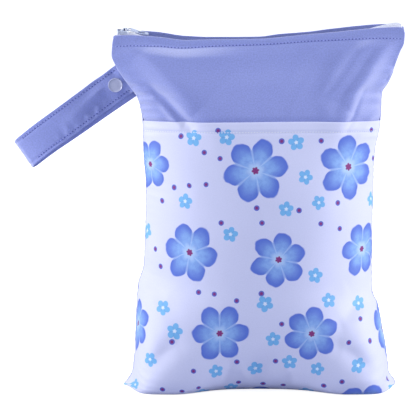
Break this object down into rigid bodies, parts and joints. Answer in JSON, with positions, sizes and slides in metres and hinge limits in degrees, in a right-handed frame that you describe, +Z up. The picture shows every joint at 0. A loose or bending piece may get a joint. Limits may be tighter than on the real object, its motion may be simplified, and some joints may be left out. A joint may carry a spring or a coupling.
{
  "type": "cloth diaper wet bag",
  "caption": "Filled cloth wet bag standing on its base: printed pocket panel under a plain yoke, zip along the top, wrist strap folded back and snapped at the side seam",
  "frame": {"origin": "on the underside, at the middle of the flat base between the two side seams", "axes": "+Z up, the printed front faces -Y, +X to the right as the front is seen, so the strap leaves towards -X"},
  "size_m": [0.4028, 0.1192, 0.3818],
  "materials": {
    "periwinkle_cloth": "plain woven periwinkle polyester, matt with a soft sheen",
    "strap_cloth": "the same periwinkle cloth, doubled and stitched along both edges",
    "printed_cloth": "smooth knit printed with scattered blue flowers on pale lilac",
    "zip_tape": "white woven polyester tape",
    "zip_coil": "white nylon coil",
    "snap_plastic": "pale grey-lilac moulded resin",
    "slider_enamel": "white enamel over cast zinc"
  },
  "bodies": {
    "bag": {"front_yoke": "periwinkle_cloth", "pocket_panel": "printed_cloth", "back_panel": "periwinkle_cloth", "zipper_tape_front": "zip_tape", "zipper_tape_back": "zip_tape", "zipper_coil": "zip_coil", "zipper_end_stop": "zip_coil", "slider_body": "slider_enamel", "strap_loop": "strap_cloth", "snap_cap": "snap_plastic", "snap_socket": "snap_plastic", "snap_stud": "snap_plastic", "snap_back_cap": "snap_plastic"},
    "pull": {"pull_tab": "slider_enamel"}
  },
  "joints": [
    {"name": "pull_swing", "type": "hinge", "parent": "bag", "child": "pull", "pos_m": [-0.13635, 0, 0.3747], "axis": [0, -1, 0], "range_deg": [0, 170]}
  ]
}
